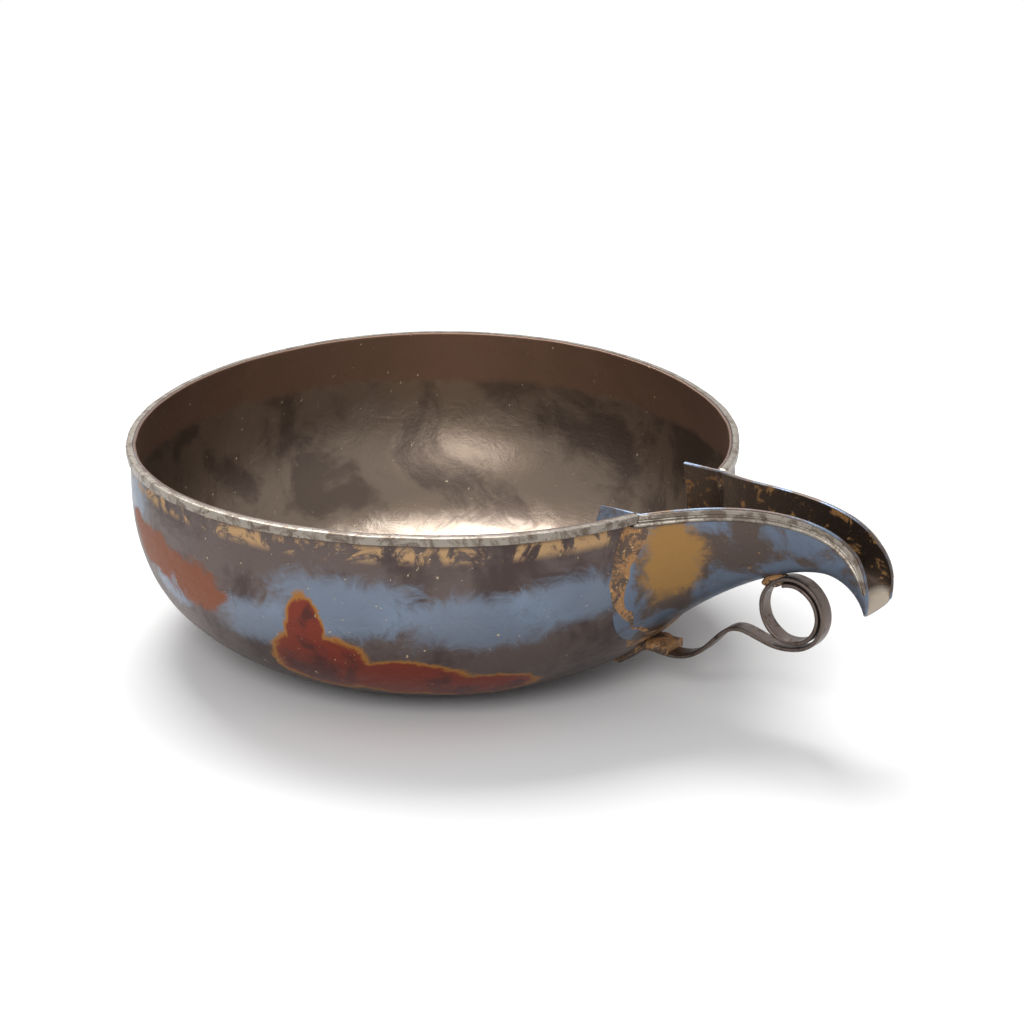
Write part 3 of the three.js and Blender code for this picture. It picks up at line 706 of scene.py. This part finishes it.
class Paint:
    """A material's node tree, built up in layers from masks."""

    def __init__(self, name):
        self.material = bpy.data.materials.new(name)
        self.material.use_nodes = True
        self.tree = self.material.node_tree
        self.tree.nodes.clear()
        self.shader = self.tree.nodes.new("ShaderNodeBsdfPrincipled")
        output = self.tree.nodes.new("ShaderNodeOutputMaterial")
        self.tree.links.new(self.shader.outputs[0], output.inputs[0])
        self.place = self.tree.nodes.new("ShaderNodeTexCoord").outputs["Object"]
        self.tone = None
        self.rough = None
        self.metal = None
        self.relief = []

    def put(self, socket, value):
        if isinstance(value, bpy.types.NodeSocket):
            self.tree.links.new(value, socket)
        else:
            socket.default_value = value

    def math(self, operation, a, b):
        node = self.tree.nodes.new("ShaderNodeMath")
        node.operation = operation
        self.put(node.inputs[0], a)
        self.put(node.inputs[1], b)
        return node.outputs[0]

    def noise(self, size, detail=4.0, rough=0.55, distort=0.0, stretch=(1, 1, 1), shift=0.0):
        """Noise from 0 to 1 in lumps of a size in millimetres."""
        mapping = self.tree.nodes.new("ShaderNodeMapping")
        mapping.inputs["Location"].default_value = (shift, shift * 0.7, -shift)
        mapping.inputs["Scale"].default_value = stretch
        self.tree.links.new(self.place, mapping.inputs["Vector"])
        node = self.tree.nodes.new("ShaderNodeTexNoise")
        node.inputs["Scale"].default_value = 1 / (size * MM)
        node.inputs["Detail"].default_value = detail
        node.inputs["Roughness"].default_value = rough
        node.inputs["Distortion"].default_value = distort
        self.tree.links.new(mapping.outputs[0], node.inputs["Vector"])
        return node.outputs["Fac"]

    def between(self, value, low, high):
        """0 below low and 1 above high, or turned over where high is below low."""
        node = self.tree.nodes.new("ShaderNodeMapRange")
        node.interpolation_type = "SMOOTHSTEP"
        self.put(node.inputs["Value"], value)
        turned = high < low
        node.inputs["From Min"].default_value = min(low, high)
        node.inputs["From Max"].default_value = max(low, high)
        node.inputs["To Min"].default_value = 1.0 if turned else 0.0
        node.inputs["To Max"].default_value = 0.0 if turned else 1.0
        return node.outputs[0]

    def blend(self, mask, a, b):
        node = self.tree.nodes.new("ShaderNodeMix")
        node.data_type = "RGBA"
        self.put(node.inputs[0], mask)
        self.put(node.inputs[6], a)
        self.put(node.inputs[7], b)
        return node.outputs[2]

    def shift(self, mask, a, b):
        node = self.tree.nodes.new("ShaderNodeMix")
        node.data_type = "FLOAT"
        self.put(node.inputs[0], mask)
        self.put(node.inputs[2], a)
        self.put(node.inputs[3], b)
        return node.outputs[0]

    def layer(self, mask, tone, rough=None, metal=None):
        """Lays a colour, and a roughness and a metalness where given, over what is there."""
        self.tone = self.blend(mask, self.tone, tone)
        if rough is not None:
            self.rough = self.shift(mask, self.rough, rough)
        if metal is not None:
            self.metal = self.shift(mask, self.metal, metal)

    def distance(self, centre, radii, turn=0.0):
        """Distance from a place in millimetres, as a share of the radii, which are out, round and up."""
        mapping = self.tree.nodes.new("ShaderNodeMapping")
        mapping.vector_type = "TEXTURE"
        mapping.inputs["Location"].default_value = [c * MM for c in centre]
        mapping.inputs["Rotation"].default_value = (0, 0, turn)
        mapping.inputs["Scale"].default_value = [r * MM for r in radii]
        self.tree.links.new(self.place, mapping.inputs["Vector"])
        length = self.tree.nodes.new("ShaderNodeVectorMath")
        length.operation = "LENGTH"
        self.tree.links.new(mapping.outputs[0], length.inputs[0])
        return length.outputs["Value"]

    def shaken(self, value, ragged, amount):
        """A value moved up and down by a noise, by an amount from trough to peak."""
        return self.math("ADD", value, self.math("MULTIPLY", self.math("SUBTRACT", ragged, 0.5), amount))

    def stain(self, centre, radii, ragged, turn=0.0, wander=0.5, soft=0.12):
        """A mask round a place, with an edge that a noise makes ragged."""
        away = self.shaken(self.distance(centre, radii, turn), ragged, wander * 2)
        return self.between(away, 1 + soft, 1 - soft)

    def height(self):
        node = self.tree.nodes.new("ShaderNodeSeparateXYZ")
        self.tree.links.new(self.place, node.inputs[0])
        return self.math("DIVIDE", node.outputs["Z"], MM)

    def bump(self, height, depth):
        """Adds fine relief, of a depth in millimetres."""
        self.relief.append((height, depth))

    def done(self):
        normal = None
        for height, depth in self.relief:
            node = self.tree.nodes.new("ShaderNodeBump")
            node.inputs["Strength"].default_value = 1.0
            node.inputs["Distance"].default_value = depth * MM
            self.put(node.inputs["Height"], height)
            if normal is not None:
                self.tree.links.new(normal, node.inputs["Normal"])
            normal = node.outputs[0]
        if normal is not None:
            self.tree.links.new(normal, self.shader.inputs["Normal"])
        self.put(self.shader.inputs["Base Color"], self.tone)
        self.put(self.shader.inputs["Roughness"], self.rough)
        self.put(self.shader.inputs["Metallic"], self.metal)
        return self.material


def on_wall(angle, height):
    """The place on the bowl's outside at an angle in degrees and a height."""
    turn = math.radians(angle)
    radius = float(bowl_radius(height, turn))
    return (radius * math.cos(turn), radius * math.sin(turn), height), turn


def tarnish(paint, base, rough, metal):
    paint.tone = base
    paint.rough = rough
    paint.metal = metal


def outside_silver():
    paint = Paint("silver_outside")
    tarnish(paint, colour(98, 86, 82), 0.42, 0.85)
    cloud = paint.noise(22, 5, 0.6, 0.4)
    fine = paint.noise(2.2, 6, 0.65, 0.3, shift=3)
    grit = paint.noise(0.8, 4, 0.7, shift=7)
    paint.layer(paint.between(cloud, 0.42, 0.62), colour(74, 62, 60))
    ragged = paint.noise(9, 8, 0.72, 0.8, shift=1)
    height = paint.height()
    # Darker towards the bottom: painted shade under the belly, laid with a duller, less metallic finish.
    low = paint.shaken(height, ragged, 18)
    paint.layer(paint.between(low, 20, 8), colour(62, 44, 40), 0.45, 0.7)
    blues = [
        (-130, 56, 16, 9),
        (-112, 36, 12, 7),
        (-86, 34, 20, 8),
        (-70, 44, 24, 10),
        (-46, 40, 26, 9),
        (-28, 44, 18, 8),
    ]
    for angle, high, wide, tall in blues:
        place, turn = on_wall(angle, high)
        patch = paint.stain(place, (14, wide, tall), ragged, turn, wander=0.9, soft=0.35)
        paint.layer(paint.math("MULTIPLY", patch, 0.75), colour(116, 130, 148), 0.36, 0.8)
    rusts = [(-118, 44, 17, 7), (-104, 40, 13, 9), (-126, 48, 8, 4)]
    for angle, high, wide, tall in rusts:
        place, turn = on_wall(angle, high)
        mask = paint.stain(place, (12, wide, tall), ragged, turn, wander=1.0, soft=0.2)
        paint.layer(mask, colour(120, 66, 38), 0.6, 0.35)
    reds = [(-78, 34, 6, 13), (-76, 22, 16, 12), (-60, 18, 20, 8), (-44, 14, 18, 6)]
    away = None
    for angle, high, wide, tall in reds:
        place, turn = on_wall(angle, high)
        near = paint.distance(place, (16, wide, tall), turn)
        away = near if away is None else paint.math("MINIMUM", away, near)
    away = paint.shaken(away, ragged, 0.7)
    paint.layer(paint.between(away, 1.18, 1.02), colour(150, 100, 40), 0.5, 0.5)
    paint.layer(paint.between(away, 1.04, 0.9), colour(112, 38, 18), 0.42, 0.5)
    deep = paint.math("MULTIPLY", paint.between(cloud, 0.5, 0.6), paint.between(away, 1.0, 0.7))
    paint.layer(deep, colour(74, 26, 18))
    band = paint.math("MULTIPLY", paint.between(height, 58, 61), paint.between(height, 65, 63))
    crust = paint.math("MULTIPLY", band, paint.between(ragged, 0.48, 0.58))
    paint.layer(crust, colour(172, 138, 98), 0.85, 0.0)
    specks = paint.math("MULTIPLY", paint.between(fine, 0.66, 0.7), 0.9)
    paint.layer(specks, colour(196, 176, 146), 0.8, 0.1)
    paint.bump(ragged, 0.35)
    paint.bump(grit, 0.05)
    paint.rough = paint.shaken(paint.rough, fine, 0.3)
    return paint.done()


def inside_silver():
    paint = Paint("silver_inside")
    tarnish(paint, colour(118, 104, 92), 0.36, 0.9)
    cloud = paint.noise(26, 5, 0.6, 0.5)
    ragged = paint.noise(10, 8, 0.7, 0.9, shift=2)
    fine = paint.noise(2.0, 6, 0.65, 0.3, shift=5)
    scratch = paint.noise(1.6, 5, 0.6, stretch=(0.12, 1, 1), shift=4)
    height = paint.height()
    # The floor inside is painted much lighter: polished silver, brightened further as a painted reflection of
    # the light above.
    floor = paint.shaken(height, ragged, 9)
    paint.layer(paint.between(cloud, 0.45, 0.6), colour(92, 80, 72))
    paint.layer(paint.between(floor, 12, 4), colour(222, 206, 188), 0.34, 0.9)
    paint.layer(paint.between(floor, 50, 53), colour(110, 86, 72), 0.45, 0.8)
    paint.layer(paint.between(fine, 0.68, 0.71), colour(214, 196, 168), 0.6, 0.4)
    paint.bump(ragged, 0.2)
    paint.bump(scratch, 0.05)
    return paint.done()


def spout_outside():
    paint = Paint("spout_outside_silver")
    tarnish(paint, colour(92, 80, 74), 0.42, 0.85)
    ragged = paint.noise(6, 8, 0.72, 0.8, shift=6)
    cloud = paint.noise(14, 5, 0.6, 0.4, shift=2)
    fine = paint.noise(1.6, 6, 0.65, shift=9)
    paint.layer(paint.between(cloud, 0.42, 0.58), colour(104, 116, 134), 0.36)
    golden = paint.stain((99, -16, 52), (10, 9, 14), ragged, wander=0.8, soft=0.3)
    paint.layer(golden, colour(150, 112, 60), 0.6, 0.4)
    paint.layer(paint.between(fine, 0.64, 0.7), colour(150, 116, 84), 0.7, 0.3)
    paint.bump(ragged, 0.25)
    return paint.done()


def spout_inside():
    paint = Paint("spout_inside_silver")
    tarnish(paint, colour(66, 54, 46), 0.4, 0.8)
    ragged = paint.noise(7, 8, 0.72, 0.8, shift=4)
    fine = paint.noise(1.8, 6, 0.65, shift=1)
    paint.layer(paint.between(ragged, 0.55, 0.62), colour(142, 104, 58), 0.7, 0.2)
    lip = paint.stain((160, 0, 46), (5, 8, 5), ragged, wander=0.4, soft=0.3)
    paint.layer(lip, colour(176, 164, 150), 0.35, 0.95)
    paint.bump(fine, 0.15)
    return paint.done()


def rim_silver():
    paint = Paint("rim_silver")
    tarnish(paint, colour(150, 142, 132), 0.34, 0.95)
    ragged = paint.noise(6, 8, 0.7, 0.8, shift=3)
    fine = paint.noise(1.4, 6, 0.65, shift=8)
    paint.layer(paint.between(ragged, 0.45, 0.6), colour(108, 96, 86), 0.42)
    paint.layer(paint.between(fine, 0.6, 0.68), colour(92, 70, 52), 0.7, 0.4)
    paint.bump(fine, 0.12)
    return paint.done()


def handle_silver():
    paint = Paint("handle_silver")
    tarnish(paint, colour(104, 92, 86), 0.38, 0.9)
    ragged = paint.noise(5, 7, 0.68, 0.6, shift=2)
    fine = paint.noise(1.1, 6, 0.65, shift=5)
    paint.layer(paint.between(ragged, 0.5, 0.62), colour(76, 64, 58), 0.46)
    paint.layer(paint.between(fine, 0.62, 0.7), colour(146, 126, 112), 0.4)
    paint.bump(fine, 0.1)
    return paint.done()


def crusty_solder():
    paint = Paint("crusty_solder")
    tarnish(paint, colour(96, 80, 70), 0.5, 0.7)
    ragged = paint.noise(4, 8, 0.72, 0.8, shift=5)
    fine = paint.noise(1.1, 6, 0.7, shift=3)
    paint.layer(paint.between(ragged, 0.46, 0.56), colour(158, 116, 74), 0.8, 0.1)
    paint.layer(paint.between(fine, 0.58, 0.66), colour(196, 160, 116), 0.85, 0.0)
    paint.bump(fine, 0.3)
    return paint.done()


# Pieces

def make_bowl(outside, inside):
    profile, normals, outer_rows = bowl_profile()
    points, faces = lathe(profile, normals)
    rows = len(profile) - 2
    grid = (rows - 1) * ROUND_STEPS
    row_of = np.arange(grid) // ROUND_STEPS
    face_material = np.concatenate([(row_of >= outer_rows - 1).astype(int), np.tile([0, 1], ROUND_STEPS)])
    bowl = new_piece("bowl", points, outward(points, faces), (outside, inside), face_material)
    return cut(bowl, spout_body(WELL_OUTSIDE, -WALL, HEADROOM))


def make_trough(outside, inside):
    outer, inner = spout_sheet(1, 0.0), spout_sheet(1, -WALL)
    points, faces = sheet_solid(outer, inner, EDGE_ROUNDING)
    grid = (outer.shape[0] - 1) * (outer.shape[1] - 1)
    face_material = np.zeros(len(faces), int)
    face_material[grid:2 * grid] = 1
    trough = new_piece("spout", points, outward(points, faces), (outside, inside), face_material)
    return cut(trough, bowl_body(-OVERLAP, HEADROOM))


def make_rim_wire(material):
    foot = RIM_RADIUS - OVERLAP
    turn = np.linspace(0, math.pi, 25)
    out = (RIM_WIRE_PROUD + FILM + OVERLAP) * np.minimum(1, np.sin(turn) + 0.45 * np.cos(turn / 2))
    bulge = np.stack([foot + out, BOWL_HEIGHT - RIM_WIRE_HEIGHT * (1 - np.cos(turn)) / 2], -1)
    profile = np.vstack([bulge, [(foot, BOWL_HEIGHT - RIM_WIRE_HEIGHT)], [(foot, BOWL_HEIGHT)]])
    around = np.arange(ROUND_STEPS) * 2 * math.pi / ROUND_STEPS
    radius, height = profile[:, 0][:, None], profile[:, 1][:, None]
    points = np.stack([radius * np.cos(around), radius * np.sin(around), height + 0 * around], -1)
    rim = np.stack([RIM_RADIUS * np.cos(around), RIM_RADIUS * np.sin(around), 0 * around + BOWL_HEIGHT], -1)
    push = dents(rim)
    worn = 0.1 * noise(points, 5, 31) + 0.06 * noise(points, 2.2, 32)
    beyond = (push[None] + worn * (radius > RIM_RADIUS))
    points = points + np.stack([np.cos(around), np.sin(around), 0 * around], -1)[None] * beyond[..., None]
    points = warp(points)
    count = len(profile)
    points = np.swapaxes(points, 0, 1).reshape(-1, 3)
    i, j = np.meshgrid(np.arange(ROUND_STEPS), np.arange(count), indexing="ij")
    ahead, after = (i + 1) % ROUND_STEPS, (j + 1) % count
    faces = np.stack([i * count + j, i * count + after, ahead * count + after, ahead * count + j], -1)
    faces = outward(points, [list(f) for f in faces.reshape(-1, 4)])
    wire = new_piece("bowl_bead", points, faces, (material,))
    return cut(wire, spout_body(WELL_OUTSIDE, BEAD_PROUD, HEADROOM))


def make_moulding(name, side, material):
    points, faces = skin(moulding_rings(side, MOULDING_START, MOULDING_END, 160))
    piece = new_piece(name, points, outward(points, faces), (material,))
    return cut(piece, bowl_body(OVERLAP, HEADROOM))


def make_seam(material):
    edge = line_length(half_section(0))
    cover = max(BAND_HEIGHT + GROOVE_HEIGHT + BEAD_HEIGHT, RIM_WIRE_HEIGHT + RIM_SADDLE) + 0.2
    start = 1 - cover / edge
    rings = [seam_ring(share) for share in np.linspace(-start, start, SEAM_STEPS)]
    points, faces = skin(rings)
    return new_piece("spout_solder", points, outward(points, faces), (material,))


def make_handle(material):
    points, faces = skin(ribbon_rings(ribbon_path(), RIBBON_STEPS, worn=RIBBON_WEAR))
    return new_piece("handle", points, outward(points, faces), (material,))


def make_root_solder(material):
    path = ribbon_path()
    share = (TONGUE_LENGTH + DIP_REACH) / line_length(path)
    run = on_line(path, np.linspace(0, share, 60))
    rings = ribbon_rings(run, 60, ROOT_SPREAD, ROOT_RISE, ROOT_SUNK)
    lumps = ROOT_LUMPS * noise(rings, 2.5, 41)
    rings = rings + unit(rings - rings.mean(1, keepdims=True)) * lumps[..., None]
    points, faces = skin(rings)
    piece = new_piece("handle_root", points, outward(points, faces), (material,))
    return cut(piece, bowl_body(-OVERLAP, HEADROOM))


def make_coil_solder(material):
    around = np.linspace(0, 2 * math.pi, 48, endpoint=False)
    turn, lift = np.meshgrid(around, np.linspace(-1.5, 1.5, 24), indexing="ij")
    x = COIL_MIDDLE[0] - COIL_OUTER_RADIUS * 0.55
    ball = np.stack([np.cos(lift) * np.cos(turn), np.cos(lift) * np.sin(turn), np.sin(lift)], -1)
    lump = ball * (COIL_OUTER_RADIUS * 0.42, COIL_HALF_WIDTH * 0.95, COIL_OUTER_RADIUS * 0.17)
    lump = lump * (1 + 0.2 * noise(ball * 2, 1, 51))[..., None]
    slope = math.atan2(float(keel_height(x + 2) - keel_height(x - 2)), 4)
    turned = np.stack([
        lump[..., 0] * math.cos(slope) - lump[..., 2] * math.sin(slope),
        lump[..., 1],
        lump[..., 0] * math.sin(slope) + lump[..., 2] * math.cos(slope),
    ], -1)
    centre = np.array([x, 0, float(keel_height(x)) - FILM - COIL_OUTER_RADIUS * 0.1])
    rings = np.swapaxes(turned + centre, 0, 1)
    points, faces = skin(rings)
    return new_piece("handle_bridge", points, outward(points, faces), (material,))


def add(piece, node):
    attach(piece, "root")
    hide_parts(node)


rim_paint = rim_silver()
solder_paint = crusty_solder()
add(make_bowl(outside_silver(), inside_silver()), "bowl_shell")
add(make_trough(spout_outside(), spout_inside()), "spout_trough")
add(make_rim_wire(rim_paint), "bowl_rim_wire")
add(make_moulding("spout_moulding_right", -1, rim_paint), "spout_rim_wire_right")
add(make_moulding("spout_moulding_left", 1, rim_paint), "spout_rim_wire_left")
add(make_seam(solder_paint), "spout_seam_solder")
add(make_handle(handle_silver()), "handle_strap")
add(make_root_solder(solder_paint), "handle_root_solder")
add(make_coil_solder(solder_paint), "handle_coil_solder")


# Studio

def make_camera():
    back = Vector((
        math.sin(AZIMUTH) * math.cos(ELEVATION),
        -math.cos(AZIMUTH) * math.cos(ELEVATION),
        math.sin(ELEVATION),
    ))
    right = Vector((math.cos(AZIMUTH), math.sin(AZIMUTH), 0))
    up = back.cross(right)
    place = TARGET + back * DISTANCE
    data = bpy.data.cameras.new("camera")
    data.lens = LENS
    data.sensor_width = 36
    data.clip_start = 0.05
    camera = bpy.data.objects.new("camera", data)
    turn = Matrix((right, up, back)).transposed().to_4x4()
    camera.matrix_world = Matrix.Translation(place) @ turn
    bpy.context.scene.collection.objects.link(camera)
    bpy.context.scene.camera = camera


def make_light(name, place, size, power):
    data = bpy.data.lights.new(name, "AREA")
    data.shape = "RECTANGLE"
    data.size, data.size_y = size
    data.energy = power
    light = bpy.data.objects.new(name, data)
    light.location = place
    light.rotation_euler = (Vector(place) - Vector(LIT_PLACE)).to_track_quat("Z", "Y").to_euler()
    bpy.context.scene.collection.objects.link(light)


def seen_directly(tree):
    """1 for what the camera, a reflection or a refraction sees, 0 for what lights the scene."""
    rays = tree.nodes.new("ShaderNodeLightPath")
    first = tree.nodes.new("ShaderNodeMath")
    first.operation = "MAXIMUM"
    tree.links.new(rays.outputs["Is Camera Ray"], first.inputs[0])
    tree.links.new(rays.outputs["Is Glossy Ray"], first.inputs[1])
    both = tree.nodes.new("ShaderNodeMath")
    both.operation = "MAXIMUM"
    tree.links.new(first.outputs[0], both.inputs[0])
    tree.links.new(rays.outputs["Is Transmission Ray"], both.inputs[1])
    return both.outputs[0]


def make_world():
    world = bpy.data.worlds.new("studio")
    world.use_nodes = True
    tree = world.node_tree
    background = tree.nodes["Background"]
    strength = tree.nodes.new("ShaderNodeMix")
    strength.data_type = "FLOAT"
    strength.inputs[2].default_value = SKY_STRENGTH
    strength.inputs[3].default_value = 1.0
    tree.links.new(seen_directly(tree), strength.inputs[0])
    tree.links.new(strength.outputs[0], background.inputs["Strength"])
    background.inputs["Color"].default_value = (1, 1, 1, 1)
    bpy.context.scene.world = world


def make_floor():
    bpy.ops.mesh.primitive_circle_add(vertices=96, radius=FLOOR_RADIUS, fill_type="NGON", location=(0, 0, 0))
    floor = bpy.context.active_object
    floor.name = "floor"
    material = bpy.data.materials.new("floor")
    material.use_nodes = True
    tree = material.node_tree
    shader = tree.nodes["Principled BSDF"]
    shader.inputs["Base Color"].default_value = (0.93, 0.93, 0.93, 1)
    shader.inputs["Roughness"].default_value = 0.9
    shader.inputs["Specular IOR Level"].default_value = 0.1
    white = tree.nodes.new("ShaderNodeEmission")
    white.inputs["Strength"].default_value = 1.0
    place = tree.nodes.new("ShaderNodeTexCoord")
    length = tree.nodes.new("ShaderNodeVectorMath")
    length.operation = "LENGTH"
    tree.links.new(place.outputs["Object"], length.inputs[0])
    fade = tree.nodes.new("ShaderNodeMapRange")
    fade.interpolation_type = "SMOOTHSTEP"
    fade.inputs["From Min"].default_value = FADE_START
    fade.inputs["From Max"].default_value = FADE_END
    tree.links.new(length.outputs["Value"], fade.inputs["Value"])
    both = tree.nodes.new("ShaderNodeMath")
    both.operation = "MULTIPLY"
    tree.links.new(fade.outputs[0], both.inputs[0])
    tree.links.new(seen_directly(tree), both.inputs[1])
    mix = tree.nodes.new("ShaderNodeMixShader")
    tree.links.new(both.outputs[0], mix.inputs[0])
    tree.links.new(shader.outputs[0], mix.inputs[1])
    tree.links.new(white.outputs[0], mix.inputs[2])
    tree.links.new(mix.outputs[0], tree.nodes["Material Output"].inputs[0])
    floor.data.materials.append(material)


make_camera()
make_light("key", KEY_PLACE, KEY_SIZE, KEY_POWER)
make_light("front", FRONT_PLACE, FRONT_SIZE, FRONT_POWER)
make_world()
make_floor()
bpy.context.scene.view_settings.view_transform = "Standard"
